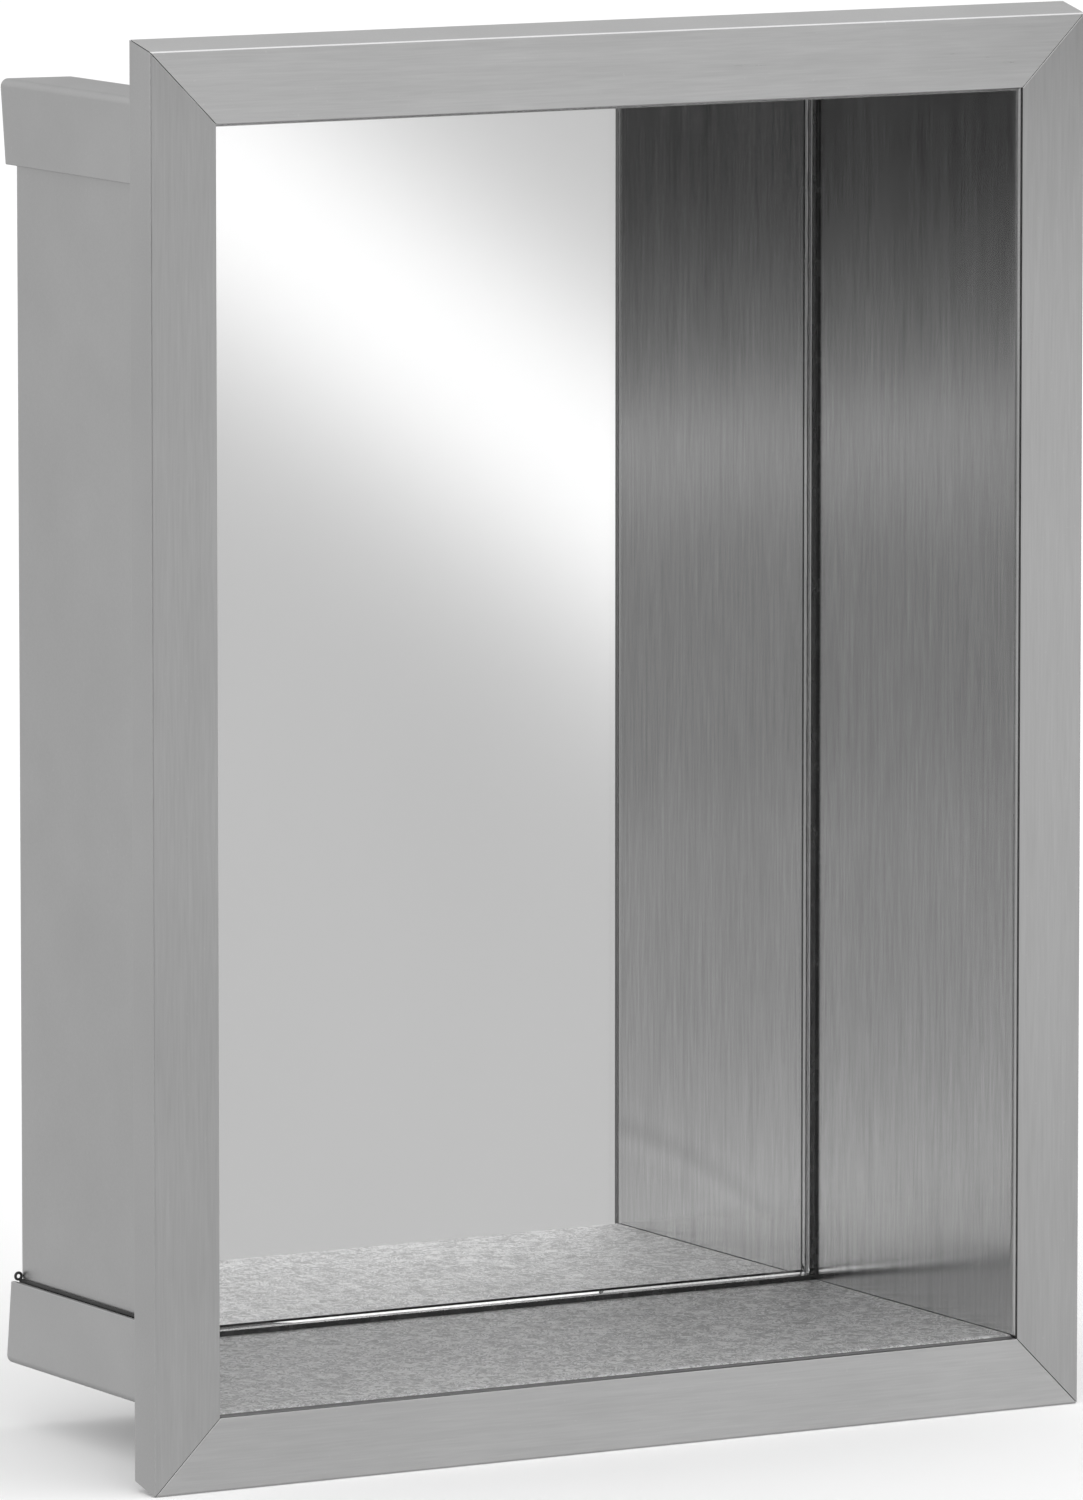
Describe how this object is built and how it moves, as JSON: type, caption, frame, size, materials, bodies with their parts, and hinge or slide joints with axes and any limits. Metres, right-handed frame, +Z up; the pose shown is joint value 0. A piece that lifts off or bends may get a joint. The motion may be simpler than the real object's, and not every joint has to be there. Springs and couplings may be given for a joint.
{
  "type": "medicine cabinet with mirror",
  "caption": "Open recessed steel wall niche with a mirror for its back wall, a mitred flat face frame and L-shaped corner angles outside.",
  "frame": {"origin": "centre of the bounding box in plan, at the lowest point of the face frame", "axes": "+X to the right across the opening, +Y from the face into the wall, +Z up"},
  "size_m": [0.3, 0.1214, 0.4026],
  "materials": {
    "frame_steel_across": "satin stainless steel, fine grain running across",
    "frame_steel_upright": "satin stainless steel, fine grain running up and down",
    "wall_steel": "brushed stainless steel, grain running up and down",
    "floor_steel": "random orbital scratched stainless steel",
    "angle_steel": "matt stainless steel",
    "plain_sheet": "mill finish stainless sheet",
    "mirror": "silver coating on the back of the glass",
    "clear_glass": "clear glass with a ground bevel",
    "black_rubber": "black rubber",
    "grey_foam": "closed cell foam",
    "bright_fixings": "plain stainless fixings"
  },
  "bodies": {
    "root": {"back_cover": "plain_sheet", "back_cover_rivets": "bright_fixings", "ceiling_bonding_tapes": "grey_foam", "ceiling_panel": "wall_steel", "corner_angle_bottom_left": "angle_steel", "corner_angle_bottom_right": "angle_steel", "corner_angle_top_left": "angle_steel", "corner_angle_top_right": "angle_steel", "corner_key_bottom_left": "plain_sheet", "corner_key_bottom_right": "plain_sheet", "corner_key_top_left": "plain_sheet", "corner_key_top_right": "plain_sheet", "flange_nuts": "bright_fixings", "floor_bonding_tapes": "grey_foam", "floor_panel": "floor_steel", "frame_bottom_rail": "frame_steel_across", "frame_left_rail": "frame_steel_upright", "frame_right_rail": "frame_steel_upright", "frame_studs": "bright_fixings", "frame_top_rail": "frame_steel_across", "left_seam_seal": "black_rubber", "left_side_panel": "wall_steel", "mirror_gasket": "black_rubber", "mirror_glass": "clear_glass", "mirror_pad": "grey_foam", "mirror_silver": "mirror", "right_seam_seal": "black_rubber", "right_side_panel": "wall_steel", "side_bonding_tapes": "grey_foam"}
  },
  "joints": []
}
